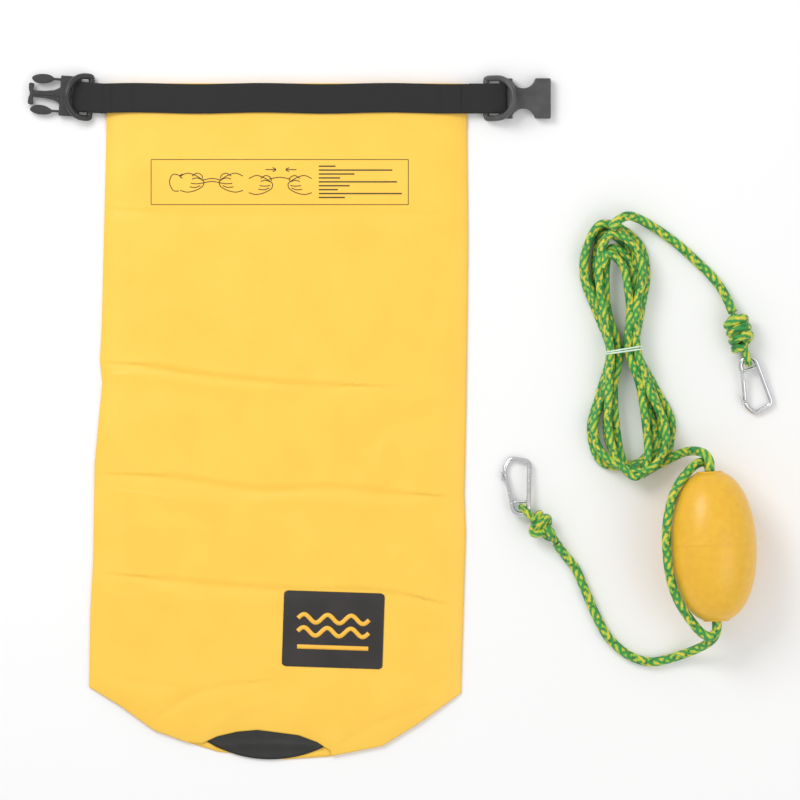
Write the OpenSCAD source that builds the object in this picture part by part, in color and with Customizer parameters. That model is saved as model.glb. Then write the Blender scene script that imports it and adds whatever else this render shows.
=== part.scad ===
// Roll-top dry bag lying flat, with a coiled float line beside it.
// +X runs along the mouth band, +Y from the base to the mouth, +Z up from the floor.

/* [Bag] */
// flat width of the bag at its mouth
bag_w = 304; // [240:2:312]
// thickness of the coated fabric
fabric_t = 0.8; // [0.5:0.1:1.2]
// diameter of the round base panel
base_d = 208; // [190:2:216]
// width of the capacity patch
patch_w = 85; // [60:1:100]

/* [Band and buckles] */
// width of the webbing
web_w = 25; // [20:1:26]
// thickness of the webbing
web_t = 1.5; // [1:0.1:1.6]
// section diameter of the two D-rings
ring_wire = 5.2; // [4.4:0.1:5.4]
// width of each buckle half
buckle_w = 34; // [30:1:38]

/* [Float line] */
// rope diameter
rope_d = 8; // [7:0.5:8.5]
// greatest diameter of the float
float_d = 73.4; // [68:0.2:78]
// length of the float
float_len = 125.6; // [118:0.4:130]

/* [Clips] */
// wire diameter of each snap clip
wire_d = 4.2; // [3.6:0.1:4.3]
// diameter of the gate pin
pin_d = 1.6; // [1.2:0.1:1.8]

/* [Hidden] */
$fn = 48;
clear = 0.3;
bag_x = -96.3;
half_w = bag_w / 2;
bag_t = 7.8;
fold_y = 245;
mouth_y = 281.5;
mouth_z = 1.8;
band_y = 268.6;
bar_z = bag_t + web_t - 4.5;
loop_r = 3;
ring_tilt = 34;
yellow = [1.0, 0.68, 0.07];
black = [0.03, 0.03, 0.03];
grey_black = [0.12, 0.12, 0.12];
green = [0.12, 0.42, 0.05];
pale = [0.75, 0.85, 0.7];
steel = [0.78, 0.78, 0.8];
float_yellow = [0.93, 0.62, 0.06];

// bag outline below the fold, from the left edge down and round to the right edge
left_edge = [[-4, 73], [-6, 48], [-4, 28], [-10, -40], [-12, -120], [-14, -163], [-15, -228]];
base_edge = [[-237, -244], [-208, -265], [-154, -283], [-98, -290], [-60, -287], [-15, -278], [15, -259]];
right_edge = [[-5, -233], [-3, -163], [-1, -98], [-2, -66], [0, 14], [1, 148]];
// upper edge of the part of the base panel that shows
lens_edge = [[-172, -280], [-155, -270], [-138, -266], [-121, -264.5], [-105, -267], [-86, -269], [-58, -283]];
base_at = [-110, -187];

left_x = bag_x - half_w;
right_x = bag_x + half_w;
outline = concat([[left_x, fold_y - 0.3]],
                 [for (p = left_edge) [left_x + p[0], p[1]]],
                 base_edge,
                 [for (p = right_edge) [right_x + p[0], p[1]]],
                 [[right_x, fold_y - 0.3]]);
front_outline = concat([[left_x, fold_y - 0.3]],
                       [for (p = left_edge) [left_x + p[0], p[1]]],
                       [for (i = [0 : 1]) base_edge[i]],
                       lens_edge,
                       [for (i = [5 : 6]) base_edge[i]],
                       [for (p = right_edge) [right_x + p[0], p[1]]],
                       [[right_x, fold_y - 0.3]]);

// inside of the front outline, drawn in by the fabric and open at the fold
function drawn_in(p) = [
    bag_x + (p[0] - bag_x) * (1 - 1.1 / half_w),
    p[1] > fold_y - 1 ? p[1] + 5 : p[1] < -200 ? p[1] + 1.6 : p[1]
];

// route of the free rope: points of each stretch in order
tail_pts = [[182, 167, 21], [194, 169, 16], [210, 162, 8], [232, 147, 4.2], [252, 129, 4.2],
            [263, 118, 4.4], [273, 104, 6.5], [280, 88, 11]];
link_pts = [[236, -31, 12], [243, -29, 20], [250, -29, 31], [256, -32, 39.5], [259, -38, 42.5],
            [259, -45.8, 40.9]];
strand_pts = [[259, -45.8, 32.5], [258.4, -41, 32.6], [254, -38, 33.5], [247.5, -40, 37], [240, -47, 41.5],
              [233.8, -55, 45], [229, -64, 46.6], [225.5, -75, 48], [223, -90, 49], [222.6, -110, 49.6],
              [225, -131, 49], [229, -146, 48], [233.5, -156, 46.8], [239, -165, 45],
              [245, -173, 43], [251, -180, 42], [258, -184, 41.3], [264, -181, 41],
              [265.3, -175.5, 40.9], [265, -171.3, 40.9]];
lower_pts = [[265, -171.3, 32.5], [265.4, -176, 32.3], [264.5, -183, 29], [259, -190, 22],
             [249, -196, 13], [238, -200.5, 7], [226, -204.5, 4.3], [210, -207, 4.2], [192, -201, 4.2],
             [176, -187, 4.2], [165, -168, 4.2], [156, -147, 4.2], [147.5, -128, 4.4],
             [138.5, -116.5, 6], [131.5, -107, 9.5]];
knot_upper_at = [285.6, 71, 12];
knot_lower_at = [120.5, -94.5, 12];
bight_upper_at = [291.9, 50, 9.2];
bight_lower_at = [106, -80, 9.2];
knot_upper_turn = 197;
knot_lower_turn = 45;
clip_upper_turn = 197;
clip_lower_turn = 3;
clip_tilt = [8.1, 9.5];
float_at = [262, -108.5, float_d / 2];
float_turn = 2.7;
bore_r = 9.5;
eye_r = 7;
gate_pivot = [-7.4, 6.5];
gate_lean = 11;
hank_at = [188, 56, 0];
hank_turn = 6;

function unit(v) = v / norm(v);
function heading(p, i) = unit(p[min(i + 1, len(p) - 1)] - p[max(i - 1, 0)]);
function side(d) = unit(cross(d, [0, 0, 1]));

// closed tube of n sides along a route
module rope(p, r, n = 10) {
    last = len(p) - 1;
    ring = [for (i = [0 : last]) for (k = [0 : n - 1])
        let (d = heading(p, i), s = side(d), u = cross(s, d), a = 360 * k / n)
        p[i] + r * (cos(a) * s + sin(a) * u)];
    walls = [for (i = [0 : last - 1]) for (k = [0 : n - 1])
        [i * n + k, i * n + (k + 1) % n, (i + 1) * n + (k + 1) % n, (i + 1) * n + k]];
    caps = [[for (k = [n - 1 : -1 : 0]) k], [for (k = [0 : n - 1]) last * n + k]];
    polyhedron(points = ring, faces = concat(walls, caps), convexity = 6);
}

// smooth points between the given ones
function between(a, b, c, d, t) = 0.5 * (2 * b + (c - a) * t + (2 * a - 5 * b + 4 * c - d) * t * t
    + (3 * b - a - 3 * c + d) * t * t * t);
function smooth(p, m = 2) = concat([for (i = [0 : len(p) - 2]) for (k = [0 : m - 1])
    between(p[max(i - 1, 0)], p[i], p[i + 1], p[min(i + 2, len(p) - 1)], k / m)], [p[len(p) - 1]]);

module slab(p, z0, z1) {
    translate([0, 0, z0]) linear_extrude(z1 - z0) polygon(p);
}

module bag_tube() {
    color(yellow) difference() {
        union() {
            slab(outline, 0, fabric_t);
            slab(front_outline, fabric_t, bag_t);
        }
        slab([for (p = front_outline) drawn_in(p)], fabric_t, bag_t - fabric_t);
        translate([base_at[0], base_at[1], fabric_t]) cylinder(h = fabric_t, d = base_d);
    }
}

module bag_mouth() {
    wide = bag_w - 2 * fabric_t;
    color(yellow) difference() {
        translate([left_x, fold_y + 0.3, mouth_z]) cube([bag_w, mouth_y - fold_y - 0.3, bag_t - mouth_z]);
        translate([left_x + fabric_t, fold_y, mouth_z + fabric_t])
            cube([wide, 60, bag_t - mouth_z - 2 * fabric_t]);
    }
}

module bag_base() {
    color(black) intersection() {
        translate([base_at[0], base_at[1], fabric_t]) cylinder(h = fabric_t, d = base_d);
        slab(outline, fabric_t, 2 * fabric_t);
    }
}

module capacity_patch() {
    r = 3.2;
    patch_h = 64;
    color(black) translate([-56.8, -179.8, bag_t]) rotate([0, 0, -1.9]) union() {
        translate([-patch_w / 2 + r, -patch_h / 2, 0]) cube([patch_w - 2 * r, patch_h, 0.5]);
        translate([-patch_w / 2, -patch_h / 2 + r, 0]) cube([patch_w, patch_h - 2 * r, 0.5]);
        for (x = [-1, 1]) for (y = [-1, 1])
            translate([x * (patch_w / 2 - r), y * (patch_h / 2 - r), 0]) cylinder(h = 0.5, r = r);
    }
}

module mouth_band() {
    color(black) union() {
        translate([left_x - 2.4, band_y - web_w / 2, bag_t]) cube([bag_w + 4.8, web_w, web_t]);
        for (x = [left_x - 2.4, right_x - 28])
            translate([x, band_y - web_w / 2, mouth_z - web_t]) cube([30.4, web_w, web_t]);
    }
}

// webbing loop: two layers from the bag's edge to a half turn about a bar at reach
module web_loop(reach) {
    outer = loop_r + web_t;
    rotate([90, 0, 0]) translate([0, 0, -web_w / 2]) linear_extrude(web_w) difference() {
        union() {
            translate([1.2, -outer]) square([reach - 1.2, 2 * outer]);
            translate([reach, 0]) circle(r = outer);
        }
        translate([-1, -loop_r]) square([reach + 1, 2 * loop_r]);
        translate([reach, 0]) circle(r = loop_r);
    }
}

// D-ring about its straight bar, arc towards +X
module d_ring(half, depth) {
    r = ring_wire / 2;
    straight = depth - half;
    rotate([0, -ring_tilt, 0]) union() {
        rotate([90, 0, 0]) translate([0, 0, -half]) cylinder(h = 2 * half, r = r);
        for (y = [-half, half]) translate([0, y, 0]) {
            sphere(r = r);
            rotate([0, 90, 0]) cylinder(h = straight, r = r);
        }
        translate([straight, 0, 0]) rotate([0, 0, -90])
            rotate_extrude(angle = 180) translate([half, 0]) circle(r = r);
    }
}

module at_left() {
    translate([left_x - 2.4, band_y, bar_z]) rotate([0, 0, 176]) children();
}

module at_right() {
    translate([right_x + 2.4, band_y, bar_z]) children();
}

module tab_left() {
    color(black) at_left() web_loop(22);
}

module tab_right() {
    color(black) at_right() web_loop(27.5);
}

module ring_left() {
    color(grey_black) at_left() translate([11, 0, 0]) d_ring(17.6, 23.5);
}

module ring_right() {
    color(grey_black) at_right() translate([14.2, 0, 0]) d_ring(16.8, 27.7);
}

// bar and side rails that hold a webbing loop
module buckle_frame(length, h) {
    inner = web_w / 2 + 0.6;
    rail = buckle_w / 2 - inner;
    rotate([90, 0, 0]) translate([0, 0, -buckle_w / 2]) cylinder(h = buckle_w, r = 2.5);
    for (y = [-buckle_w / 2, inner]) translate([-2.5, y, -h / 2]) cube([length + 3, rail, h]);
}

module buckle_male() {
    h = 5;
    color(black) at_left() translate([22, 0, 0]) union() {
        buckle_frame(7, h);
        translate([6, -buckle_w / 2, -h / 2]) cube([9, buckle_w, h]);
        translate([0, 0, -h / 2]) linear_extrude(h)
            polygon([[14, -8], [20, -4], [38, -2.8], [38, 2.8], [20, 4], [14, 8]]);
        translate([37, -9, -h / 2]) cube([4.6, 18, h]);
        for (s = [-1, 1]) {
            translate([14, s * 13.4 - 1, -h / 2]) cube([10, 2, h]);
            translate([0, 0, -h / 2]) linear_extrude(h)
                polygon([for (p = [[21, 12.2], [27, 9.4], [34, 9.2], [39, 12], [39, 14.6],
                                   [33, 17], [25, 17], [21, 15]]) [p[0], s * p[1]]]);
        }
    }
}

module buckle_female() {
    h = 9;
    mouth = 41.2;
    color(grey_black) at_right() translate([27.5, 0, 0]) difference() {
        union() {
            buckle_frame(7, 5);
            translate([5.5, -buckle_w / 2, -h / 2]) cube([mouth - 5.5, buckle_w, h]);
        }
        for (s = [-1, 1]) translate([18, s * (buckle_w / 2 + 1.5), -h]) cylinder(h = 2 * h, r = 10);
        translate([10, -buckle_w / 2 + 2.2, -2.8]) cube([40, buckle_w - 4.4, 5.6]);
    }
}

module hank() {
    color(green) translate(hank_at) rotate([0, 0, hank_turn]) union() {
        translate([0, 0, 0.2]) linear_extrude(23.6) polygon([[-26, 88], [-13, 111], [8, 111], [25, 92],
            [29, 66], [13.5, 6], [13.5, -8], [33, -48], [39, -82], [24, -106], [-12, -112], [-36, -92],
            [-36, -62], [-13.5, -8], [-13.5, 6], [-29, 60]]);
    }
}

module hank_tie() {
    color(pale) translate(hank_at) rotate([0, 0, hank_turn + 8]) difference() {
        translate([-15.4, -2.4, 0]) cube([30.8, 3, 25.4]);
        translate([-14.2, -3, 0]) cube([28.4, 5, 24.1]);
    }
}

module tail_upper() {
    color(green) rope(smooth(tail_pts), rope_d / 2);
}

module link_rope() {
    color(green) rope(smooth(link_pts), rope_d / 2);
}

module float_strand() {
    color(green) rope(smooth(strand_pts), rope_d / 2);
}

module tail_lower() {
    color(green) rope(smooth(lower_pts), rope_d / 2);
}

// stack of rope turns about +Y, with a bight at +Y that hooks a clip's eye
module knot(wraps, size) {
    spread = 7.4;
    rotate([-90, 0, 0]) translate([0, 0, -(wraps - 1) * spread / 2]) union() {
        cylinder(h = (wraps - 1) * spread, r = size - 4);
        for (i = [0 : wraps - 1]) translate([0, 0, i * spread])
            rotate_extrude() translate([size - 4, 0]) circle(r = 4);
    }
}

module knot_upper() {
    color(green) translate(knot_upper_at) rotate([0, 0, knot_upper_turn]) knot(4, 11.7);
}

module knot_lower() {
    color(green) translate(knot_lower_at) rotate([0, 0, knot_lower_turn]) knot(3, 11.7);
}

// rope bight over and under the wire at a clip's eye, legs back along -Y
module bight(legs) {
    r = 3;
    turn = wire_d / 2 + clear + r;
    rotate([0, 90, 0]) rotate_extrude(angle = 180) translate([turn, 0]) circle(r = r);
    for (z = [-turn, turn]) translate([0, -legs, z]) rotate([-90, 0, 0]) cylinder(h = legs, r = r);
}

module bight_upper() {
    color(green) translate(bight_upper_at) rotate([0, 0, knot_upper_turn]) bight(7.5);
}

module bight_lower() {
    color(green) translate(bight_lower_at) rotate([0, 0, knot_lower_turn]) bight(10);
}

// wire bent in one plane from +Y: each step is [straight length, bend radius, turn to the left]
module bent_wire(steps, r, i = 0) {
    if (i < len(steps)) {
        run = steps[i][0];
        bend = steps[i][1];
        turn = steps[i][2];
        s = sign(turn);
        rotate([-90, 0, 0]) cylinder(h = run, r = r);
        translate([0, run, 0]) {
            if (turn != 0) translate([-s * bend, 0, 0]) mirror([s < 0 ? 1 : 0, 0, 0])
                rotate_extrude(angle = abs(turn)) translate([bend, 0]) circle(r = r);
            translate([-s * bend, 0, 0]) rotate([0, 0, turn]) translate([s * bend, 0, 0])
                bent_wire(steps, r, i + 1);
        }
    }
}

// places a clip with the wire of its eye in a bight that leads along lead
module at_clip(at, lead, turn, tilt, flip) {
    translate(at) rotate([0, 0, lead]) rotate([-tilt, 0, 0]) translate([0, eye_r, 0])
        rotate([0, 0, turn - lead]) mirror([flip, 0, 0]) children();
}

module clip_body() {
    r = wire_d / 2;
    difference() {
        union() {
            // spine, top bar and nose on one side, eye on the other
            translate([7, 0, 0]) rotate([0, 0, -4]) 
                bent_wire([[33, 5, 82], [9, 5, 70], [4, 4, 22], [3.5, 4, 0]], r);
            translate([-15.1, 22, -1.8]) cube([1.3, 8.5, 3.6]);
            rotate([0, 0, -180]) rotate_extrude(angle = 180) translate([eye_r, 0]) circle(r = r);
            translate([-7, 0, 0]) rotate([-90, 0, 0]) cylinder(h = 2.6, r = r);
            translate([gate_pivot[0], gate_pivot[1], -0.8]) cylinder(h = 1.6, r = r);
            translate([gate_pivot[0] - 1.5, 2, -0.8]) cube([3.2, gate_pivot[1] - 2, 1.6]);
        }
        translate([gate_pivot[0], gate_pivot[1], -5]) cylinder(h = 10, d = pin_d + 0.04);
    }
}

module clip_gate() {
    r = 2.1;
    translate([gate_pivot[0], gate_pivot[1], 0]) rotate([0, 0, gate_lean]) difference() {
        union() {
            cylinder(h = 2 * r, r = 2, center = true);
            rotate([-90, 0, 0]) cylinder(h = 21.5, r = 1.9);
        }
        translate([-4, -4, -1]) cube([8, 7, 2]);
        translate([0, 0, -5]) cylinder(h = 10, d = pin_d + 0.1);
    }
}

module clip_pin() {
    translate([gate_pivot[0], gate_pivot[1], -2.2]) cylinder(h = 4.4, d = pin_d);
}

module upper_place() {
    at_clip(bight_upper_at, knot_upper_turn, clip_upper_turn, clip_tilt[0], 1) children();
}

module lower_place() {
    at_clip(bight_lower_at, knot_lower_turn, clip_lower_turn, clip_tilt[1], 0) children();
}

module upper_clip_body() {
    color(steel) upper_place() clip_body();
}

module upper_clip_gate() {
    color(steel) upper_place() clip_gate();
}

module upper_clip_pin() {
    color(steel) upper_place() clip_pin();
}

module lower_clip_body() {
    color(steel) lower_place() clip_body();
}

module lower_clip_gate() {
    color(steel) lower_place() clip_gate();
}

module lower_clip_pin() {
    color(steel) lower_place() clip_pin();
}

// egg-shaped float about its bore
module float_body() {
    half = float_len / 2;
    color(float_yellow) translate(float_at) rotate([0, 0, float_turn]) rotate([-90, 0, 0])
        rotate_extrude() difference() {
            polygon(concat([[bore_r, -half]],
                [for (i = [-12 : 12]) let (a = i * 6.8)
                    [max(bore_r + 1.5, float_d / 2 * pow(cos(a), 0.82)), half * sin(a) / sin(81.6)]],
                [[bore_r, half]]));
        }
}

// the two passes of rope through the bore
module bore_ropes() {
    color(green) translate(float_at) rotate([0, 0, float_turn]) for (z = [-4.2, 4.2])
        translate([0, -float_len / 2, z]) rotate([-90, 0, 0]) cylinder(h = float_len, r = 3.9);
}

bag_tube();
bag_mouth();
bag_base();
capacity_patch();
mouth_band();
tab_left();
tab_right();
ring_left();
ring_right();
buckle_male();
buckle_female();
hank();
hank_tie();
tail_upper();
knot_upper();
bight_upper();
link_rope();
float_strand();
bore_ropes();
float_body();
tail_lower();
knot_lower();
bight_lower();
upper_clip_body();
upper_clip_gate();
upper_clip_pin();
lower_clip_body();
lower_clip_gate();
lower_clip_pin();
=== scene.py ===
import bpy
import math
import numpy as np
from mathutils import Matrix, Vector


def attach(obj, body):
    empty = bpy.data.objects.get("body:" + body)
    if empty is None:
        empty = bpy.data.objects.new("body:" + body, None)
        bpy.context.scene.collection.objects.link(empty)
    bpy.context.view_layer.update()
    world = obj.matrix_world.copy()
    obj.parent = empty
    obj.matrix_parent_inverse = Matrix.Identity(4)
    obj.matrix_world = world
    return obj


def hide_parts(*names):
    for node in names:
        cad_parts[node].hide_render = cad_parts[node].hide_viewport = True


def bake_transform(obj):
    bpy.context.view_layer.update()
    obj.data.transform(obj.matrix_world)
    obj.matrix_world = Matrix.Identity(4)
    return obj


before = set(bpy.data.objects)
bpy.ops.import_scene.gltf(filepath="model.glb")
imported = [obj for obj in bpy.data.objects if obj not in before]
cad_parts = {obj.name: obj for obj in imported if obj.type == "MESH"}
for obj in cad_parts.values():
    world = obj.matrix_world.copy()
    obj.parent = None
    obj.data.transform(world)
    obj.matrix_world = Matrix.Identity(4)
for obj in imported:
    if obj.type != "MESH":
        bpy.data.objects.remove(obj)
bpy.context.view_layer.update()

# Lengths below are millimetres in the part's own frame; MM turns them into metres.
MM = 0.001
CLOTH, BASE_CLOTH, FILM = 0.7, 0.6, 0.35
BASE_AT, BASE_R = (-110, -187), 102.5
PATCH_SIZE, PATCH_CORNER, PATCH_TURN = (85, 64), 3.2, -1.9
WEB_WIDTH, WEB_THICK, LOOP_R = 25, 1.5, 3.75
RING_WIRE, RING_TILT, BUCKLE_BAR = 2.6, 34, 2.45
ROPE, PACKED_ROPE, TIGHT_ROPE = 8.0, 7.0, 7.8
BRAID_PITCH, BRAID_PAIRS = 9.0, 4
CLIP_WIRE, CLIP_GATE, CLIP_PIN = 2.1, 1.9, 0.8
FLOAT_HALF, FLOAT_R, BORE_R = 62.8, 36.7, 9.5

# flat sizes of the sheets, in metres and square metres
CLOTH_FLAT, BASE_FLAT, BASE_AREA = (0.315, 0.555), (0.205, 0.205), 0.0335


# ---------------------------------------------------------------- materials
def socket(node, name, value):
    node.inputs[name].default_value = value


def material(name, color, rough, second=None, scale=200.0, bump=0.1, bump_scale=900.0,
             metallic=0.0, coat=0.0, sheen=0.0, attribute=False, rough_var=0.08):
    """Principled surface with a mottled colour, varied roughness and a fine bump."""
    m = bpy.data.materials.new(name)
    m.use_nodes = True
    nt = m.node_tree
    b = nt.nodes["Principled BSDF"]
    socket(b, "Metallic", metallic)
    socket(b, "Coat Weight", coat)
    socket(b, "Sheen Weight", sheen)
    tex = nt.nodes.new("ShaderNodeTexCoord")
    soft = nt.nodes.new("ShaderNodeTexNoise")
    socket(soft, "Scale", scale)
    socket(soft, "Detail", 4.0)
    nt.links.new(tex.outputs["Object"], soft.inputs["Vector"])
    if attribute:
        col = nt.nodes.new("ShaderNodeVertexColor")
        col.layer_name = "Col"
        nt.links.new(col.outputs["Color"], b.inputs["Base Color"])
    else:
        ramp = nt.nodes.new("ShaderNodeValToRGB")
        ramp.color_ramp.elements[0].position = 0.3
        ramp.color_ramp.elements[1].position = 0.7
        ramp.color_ramp.elements[0].color = (*(second or color), 1)
        ramp.color_ramp.elements[1].color = (*color, 1)
        nt.links.new(soft.outputs["Fac"], ramp.inputs["Fac"])
        nt.links.new(ramp.outputs["Color"], b.inputs["Base Color"])
    rr = nt.nodes.new("ShaderNodeMapRange")
    socket(rr, "To Min", max(0.02, rough - rough_var))
    socket(rr, "To Max", rough + rough_var)
    nt.links.new(soft.outputs["Fac"], rr.inputs["Value"])
    nt.links.new(rr.outputs["Result"], b.inputs["Roughness"])
    fine = nt.nodes.new("ShaderNodeTexNoise")
    socket(fine, "Scale", bump_scale)
    socket(fine, "Detail", 3.0)
    nt.links.new(tex.outputs["Object"], fine.inputs["Vector"])
    bm = nt.nodes.new("ShaderNodeBump")
    socket(bm, "Strength", bump)
    socket(bm, "Distance", 0.0004)
    nt.links.new(fine.outputs["Fac"], bm.inputs["Height"])
    nt.links.new(bm.outputs["Normal"], b.inputs["Normal"])
    return m


YELLOW = (1.0, 0.62, 0.075)
MAT = {
    "bag": material("bag_cloth", YELLOW, 0.42, (0.985, 0.59, 0.066), 30, 0.12, 1600, coat=0.05),
    "base": material("base_cloth", (0.022, 0.021, 0.02), 0.45, (0.014, 0.014, 0.013), 60, 0.4, 1500),
    "patch": material("patch_film", (0.032, 0.027, 0.025), 0.3, (0.022, 0.02, 0.019), 40, 0.15, 1400),
    "ink": material("print_ink", (0.05, 0.035, 0.02), 0.6, (0.07, 0.05, 0.02), 90, 0.05, 900),
    "mark": material("mark_ink", (1.0, 0.55, 0.05), 0.45, (0.95, 0.5, 0.05), 90, 0.05, 900),
    "web": material("webbing", (0.013, 0.012, 0.012), 0.75, (0.007, 0.007, 0.007), 400, 0.6, 2600,
                    sheen=0.08),
    "plastic": material("black_moulding", (0.035, 0.034, 0.035), 0.35, (0.024, 0.024, 0.025), 120, 0.08,
                        1500),
    "grey": material("grey_moulding", (0.085, 0.083, 0.085), 0.38, (0.055, 0.055, 0.057), 90, 0.1, 1500),
    "rope": material("rope_braid", (0.1, 0.4, 0.05), 0.5, bump=0.35, bump_scale=3000, sheen=0.15,
                     attribute=True),
    "tie": material("tie_band", (0.72, 0.88, 0.75), 0.4, (0.62, 0.8, 0.66), 200, 0.1, 1200),
    "float": material("float_foam", (0.88, 0.5, 0.03), 0.36, (0.82, 0.45, 0.025), 160, 0.5, 700, coat=0.12),
    "steel": material("polished_steel", (0.72, 0.72, 0.74), 0.16, (0.62, 0.62, 0.64), 150, 0.04, 1800,
                      metallic=1.0, rough_var=0.05),
}


# ---------------------------------------------------------------- shape helpers (millimetres in)
def mesh(name, verts, faces, mat, colors=None, bevel=0.0):
    """Smooth-shaded object from millimetres, with its material and, if asked, rounded edges."""
    me = bpy.data.meshes.new(name)
    me.from_pydata([tuple(v) for v in np.asarray(verts, float) * MM], [], [tuple(f) for f in faces])
    if colors is not None:
        layer = me.color_attributes.new("Col", "FLOAT_COLOR", "POINT")
        layer.data.foreach_set("color", np.c_[colors, np.ones(len(colors))].ravel())
    me.polygons.foreach_set("use_smooth", [True] * len(me.polygons))
    me.update()
    o = bpy.data.objects.new(name, me)
    bpy.context.scene.collection.objects.link(o)
    me.materials.append(MAT[mat])
    if bevel:
        b = o.modifiers.new("bevel", "BEVEL")
        b.width = bevel * MM
        b.segments = 3
        b.limit_method = "ANGLE"
        w = o.modifiers.new("normals", "WEIGHTED_NORMAL")
        w.keep_sharp = True
    return o


def spline(points, step=1.0):
    """Smooth curve through the points, resampled evenly."""
    p = np.asarray(points, float)
    out = []
    n = len(p)
    for i in range(n - 1):
        a, b, c, d = p[max(i - 1, 0)], p[i], p[i + 1], p[min(i + 2, n - 1)]
        for t in np.linspace(0, 1, 16, endpoint=False):
            out.append(0.5 * (2 * b + (c - a) * t + (2 * a - 5 * b + 4 * c - d) * t**2
                              + (3 * b - a - 3 * c + d) * t**3))
    out.append(p[-1])
    out = np.array(out)
    s = np.r_[0, np.cumsum(np.linalg.norm(np.diff(out, axis=0), axis=1))]
    k = max(2, int(round(s[-1] / step)) + 1)
    q = np.linspace(0, s[-1], k)
    return np.c_[[np.interp(q, s, out[:, j]) for j in range(3)]].T


def frames(p):
    """Directions along a curve, and two across it that don't twist."""
    t = np.gradient(p, axis=0)
    t /= np.linalg.norm(t, axis=1)[:, None]
    u = np.cross(t[0], [0.1, 0.2, 1.0])
    u /= np.linalg.norm(u)
    us = []
    for d in t:
        u = u - d * (u @ d)
        u /= np.linalg.norm(u)
        us.append(u)
    us = np.array(us)
    return t, us, np.cross(t, us)


def length_of(p):
    return float(np.linalg.norm(np.diff(p, axis=0), axis=1).sum())


def tube(name, p, r, mat, sides=16, flat=1.0, colors=None, radius=None):
    """Closed tube along p; radius(angle, run) changes its surface."""
    p = np.asarray(p, float)
    t, u, v = frames(p)
    run = np.r_[0, np.cumsum(np.linalg.norm(np.diff(p, axis=0), axis=1))]
    a = np.linspace(0, 2 * math.pi, sides, endpoint=False)
    A, R = np.meshgrid(a, run)
    rad = r * (radius(A, R) if radius else np.ones_like(A))
    verts = (p[:, None] + rad[..., None] * (np.cos(A)[..., None] * u[:, None]
                                            + flat * np.sin(A)[..., None] * v[:, None]))
    n = len(p)
    faces = []
    for i in range(n - 1):
        for k in range(sides):
            faces.append((i * sides + k, i * sides + (k + 1) % sides,
                          (i + 1) * sides + (k + 1) % sides, (i + 1) * sides + k))
    faces.append(tuple(range(sides - 1, -1, -1)))
    faces.append(tuple((n - 1) * sides + k for k in range(sides)))
    col = colors(A, R).reshape(-1, 3) if colors else None
    return mesh(name, verts.reshape(-1, 3), faces, mat, col)


GREEN, DARK = np.array([0.03, 0.3, 0.05]), np.array([0.015, 0.17, 0.03])
LIME, GOLD = np.array([0.36, 0.6, 0.05]), np.array([0.72, 0.62, 0.045])


def windings(a, s):
    """The two sets of yarns as waves over the angle a and the run s."""
    run = s * 2 * math.pi / BRAID_PITCH
    return np.sin(BRAID_PAIRS * a + run), np.sin(BRAID_PAIRS * a - run)


def braid_radius(a, s):
    """Raised yarns winding both ways."""
    one, two = windings(a, s)
    return 0.93 + 0.07 * np.maximum(np.abs(one) ** 0.7, np.abs(two) ** 0.7)


def braid_colors(a, s):
    """Green braid with lime and yellow yarns winding both ways, with painted shade darkening the grooves
    between the yarns.
    """
    yarns = 2 * BRAID_PAIRS
    one = np.floor((yarns * a / (2 * math.pi) + s / (BRAID_PITCH / 2)) % yarns)
    two = np.floor((yarns * a / (2 * math.pi) - s / (BRAID_PITCH / 2)) % yarns)
    wave_one, wave_two = windings(a, s)
    over = wave_one * wave_two > 0
    yarn = np.where(over, one, two)
    out = np.empty(a.shape + (3,))
    out[:] = GREEN
    out[yarn == 1] = DARK
    out[(yarn == 3) | ((yarn == 7) & over)] = GOLD
    out[(yarn == 5) | ((yarn == 2) & ~over)] = LIME
    # painted shade: colour made darker where both yarn waves dip, in the grooves between the raised yarns
    shade = 0.86 + 0.14 * np.maximum(np.abs(wave_one), np.abs(wave_two))
    return out * shade[..., None]


def rope(name, pts, d, flat=1.0, step=1.1):
    """Braided rope of diameter d through the points: the object and its centreline."""
    p = spline(pts, step)
    o = tube(name, p, d / 2, "rope", 20, flat, braid_colors, braid_radius)
    return o, p


# ---------------------------------------------------------------- bag cloth
# side edges, the lower edge, and the upper edge of the base panel where it shows, given point by point
LEFT = np.array([[-263, -300], [-263, -228], [-262, -163], [-259.6, -120], [-258.5, -40], [-252, 28],
                 [-254, 48], [-252.5, 73], [-248.5, 240], [-248.3, 282]])
RIGHT = np.array([[50.7, -300], [51, -233], [53, -163], [55, -98], [53.8, -66], [55.4, 14], [57, 148],
                  [56, 240], [55.7, 282]])
BASE = np.array([[-263.5, -228], [-237, -244], [-208, -265], [-180, -275], [-154, -283], [-98, -289.5],
                 [-60, -287], [-15, -278], [15.5, -259], [51.5, -233]])
LENS = np.array([[-180, -275], [-168, -276], [-155, -270], [-138, -266], [-121, -264.5], [-105, -266.5],
                 [-86, -269], [-70, -275], [-58, -283]])


def edge_x(table, y):
    """Where the bag's side edge is at each y."""
    return np.interp(y, table[:, 1], table[:, 0])


def base_y(x, front):
    """Where the bag's lower edge is; the front cloth stops above the lens of the base."""
    y = np.interp(x, BASE[:, 0], BASE[:, 1])
    if front:
        inside = (x > LENS[0, 0]) & (x < LENS[-1, 0])
        y = np.where(inside, np.maximum(y, np.interp(x, LENS[:, 0], LENS[:, 1])), y)
    return y


# the span of the edge lists, the cloth's upper end, and where the back cloth rises to the band
BOTTOM_Y, MOUTH_Y, CLOTH_END_Y, LIFT_Y = -300, 282, 281.3, 243

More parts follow.
